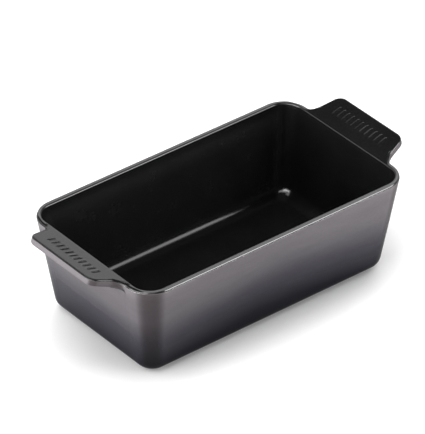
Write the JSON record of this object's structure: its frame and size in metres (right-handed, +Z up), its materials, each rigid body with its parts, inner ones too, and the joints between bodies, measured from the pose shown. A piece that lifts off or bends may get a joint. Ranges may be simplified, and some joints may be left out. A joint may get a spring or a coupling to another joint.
{
  "type": "loaf pan",
  "caption": "Rectangular enamelled cast-iron loaf pan with drafted walls, rounded corners and upswept lug handles at both ends.",
  "frame": {"origin": "centre of the flat underside", "axes": "+X along the length from handle to handle, +Y across the width, +Z up out of the opening"},
  "size_m": [0.282, 0.1354, 0.0843],
  "materials": {
    "iron": "as cast, shot blasted, wholly covered by the enamel",
    "ground_coat": "thin fired glass ground coat, wholly covered",
    "black_enamel": "satin black fired enamel with a fine texture",
    "grey_enamel": "gloss fired enamel fading from warm grey at the rim to near black at the base"
  },
  "bodies": {
    "root": {"iron_casting": "iron", "ground_coat": "ground_coat", "black_enamel": "black_enamel", "grey_enamel": "grey_enamel"}
  },
  "joints": []
}
